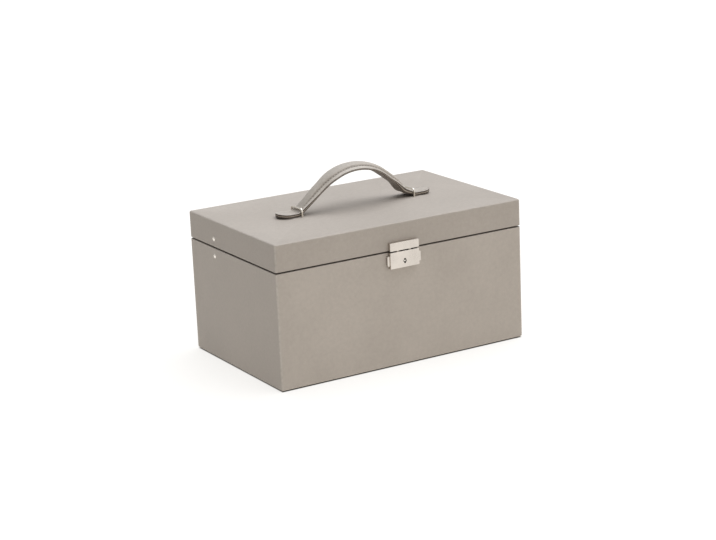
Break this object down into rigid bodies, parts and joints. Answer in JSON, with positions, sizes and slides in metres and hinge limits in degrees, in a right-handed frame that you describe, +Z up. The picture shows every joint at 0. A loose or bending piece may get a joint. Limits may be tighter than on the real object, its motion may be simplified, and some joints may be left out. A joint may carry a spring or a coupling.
{
  "type": "jewelry case",
  "caption": "Leather covered jewelry case with a hinged lid, strap handle, squeeze lock, slotted lid stays, mirror and a sliding ring tray.",
  "frame": {"origin": "middle of the base on the surface that the case stands on", "axes": "+X to the right along the width, +Y to the back, +Z up"},
  "size_m": [0.322, 0.213, 0.2153],
  "materials": {
    "leather": "fine grained, satin",
    "board": "raw fibreboard",
    "suede": "brushed suede cloth",
    "padding": "stuffed suede cloth",
    "felt": "dark felt",
    "mirror": "silvered glass",
    "nickel": "satin nickel plate"
  },
  "bodies": {
    "case": {"bottom_board": "board", "front_board": "board", "back_board": "board", "left_board": "board", "right_board": "board", "case_cover": "leather", "base_pad": "felt", "floor_lining": "suede", "wall_lining": "suede", "rail_front": "suede", "rail_back": "suede", "divider_long": "suede", "cross_divider_left": "suede", "cross_divider_right": "suede", "hinge_leaf_base_left": "nickel", "hinge_leaf_base_right": "nickel", "hinge_pin_left": "nickel", "hinge_pin_right": "nickel", "hinge_screws_base": "nickel", "base_stay_rivets": "nickel", "lock_case": "nickel", "lock_back_plate": "nickel", "lock_screws": "nickel"},
    "lid": {"lid_top_board": "board", "lid_front_board": "board", "lid_back_board": "board", "lid_left_board": "board", "lid_right_board": "board", "lid_cover": "leather", "lid_ceiling_lining": "suede", "lid_wall_lining": "suede", "mirror_frame": "leather", "mirror": "mirror", "hinge_leaf_lid_left": "nickel", "hinge_leaf_lid_right": "nickel", "hinge_screws_lid": "nickel", "lid_stay_rivets": "nickel", "hasp_plate": "nickel", "hasp_screws": "nickel", "handle_loop_left": "nickel", "handle_loop_right": "nickel"},
    "handle": {"handle_strap": "leather"},
    "stay_left": {"stay_arm_left": "nickel"},
    "stay_right": {"stay_arm_right": "nickel"},
    "button_left": {"latch_button_left": "nickel", "latch_slide_left": "nickel", "latch_spring_left": "nickel"},
    "button_right": {"latch_button_right": "nickel", "latch_slide_right": "nickel", "latch_spring_right": "nickel"},
    "cam": {"lock_cam": "nickel"},
    "tray": {"tray_shell": "suede", "tray_divider_long": "suede", "tray_divider_cross": "suede", "ring_rolls": "padding"}
  },
  "joints": [
    {"name": "lid_hinge", "type": "hinge", "parent": "case", "child": "lid", "pos_m": [0, 0.104, 0.1335], "axis": [-1, 0, 0], "range_deg": [0, 100]},
    {"name": "stay_left_pivot", "type": "hinge", "parent": "lid", "child": "stay_left", "pos_m": [-0.1502, 0.042, 0.1435], "axis": [-1, 0, 0], "range_deg": [-50, 0]},
    {"name": "stay_right_pivot", "type": "hinge", "parent": "lid", "child": "stay_right", "pos_m": [0.1502, 0.042, 0.1435], "axis": [-1, 0, 0], "range_deg": [-50, 0]},
    {"name": "handle_press", "type": "slide", "parent": "lid", "child": "handle", "axis": [0, 0, -1], "range_m": [0, 0.022], "stiffness_N_per_m": 500, "deforming": ["handle_strap"]},
    {"name": "left_button_press", "type": "slide", "parent": "case", "child": "button_left", "axis": [1, 0, 0], "range_m": [0, 0.002], "stiffness_N_per_m": 600, "deforming": ["latch_spring_left"]},
    {"name": "right_button_press", "type": "slide", "parent": "case", "child": "button_right", "axis": [-1, 0, 0], "range_m": [0, 0.002], "stiffness_N_per_m": 600, "deforming": ["latch_spring_right"]},
    {"name": "lock_turn", "type": "hinge", "parent": "case", "child": "cam", "pos_m": [0, -0.102, 0.1214], "axis": [0, -1, 0], "range_deg": [0, 90]},
    {"name": "tray_slide", "type": "slide", "parent": "case", "child": "tray", "axis": [1, 0, 0], "range_m": [0, 0.1534]}
  ],
  "couplings": [
    {"joint": "stay_left_pivot", "follows": "lid_hinge", "ratio": -0.5},
    {"joint": "stay_right_pivot", "follows": "lid_hinge", "ratio": -0.5}
  ]
}
